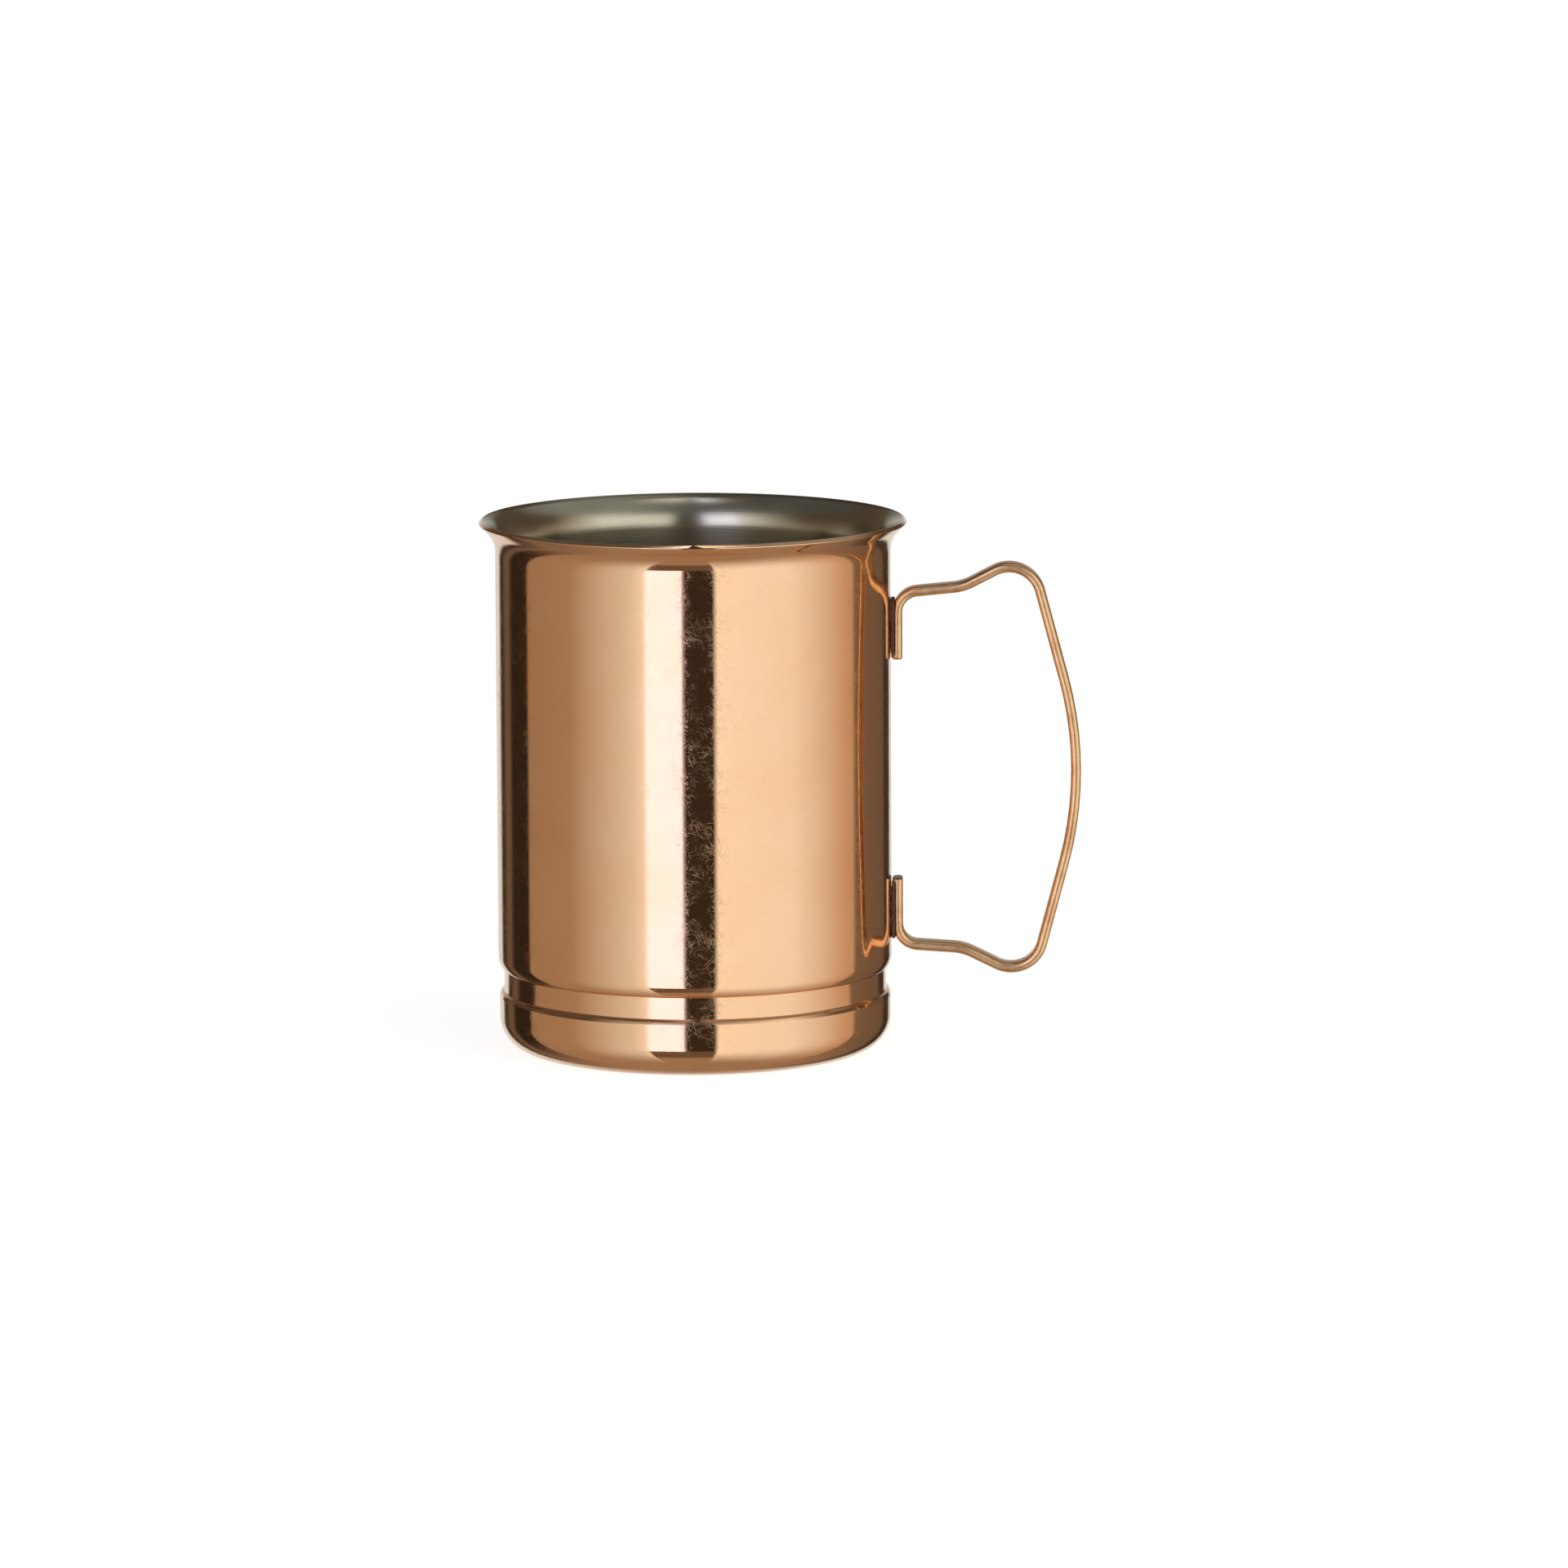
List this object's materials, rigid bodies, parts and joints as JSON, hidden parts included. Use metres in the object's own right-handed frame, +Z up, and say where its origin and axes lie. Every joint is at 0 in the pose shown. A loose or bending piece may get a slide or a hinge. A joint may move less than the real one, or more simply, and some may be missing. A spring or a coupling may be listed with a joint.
{
  "type": "copper mug",
  "caption": "Straight-sided copper mug with a flared lip, a grooved foot band, a thin steel lining and an open bent strap handle brazed to one side",
  "frame": {"origin": "centre of the flat base that the mug stands on, on the axis of the round body", "axes": "+Z up along the body's axis, +X towards the handle, +Y completes a right-handed frame"},
  "size_m": [0.1218, 0.0866, 0.1081],
  "materials": {
    "polished_copper": "polished copper, clear, with fine hand-buffing marks",
    "satin_steel": "satin, turned",
    "handle_copper": "satin copper",
    "braze_metal": "dark, rough"
  },
  "bodies": {
    "root": {"outer_shell": "polished_copper", "inner_liner": "satin_steel", "handle": "handle_copper", "upper_braze": "braze_metal", "lower_braze": "braze_metal"}
  },
  "joints": []
}
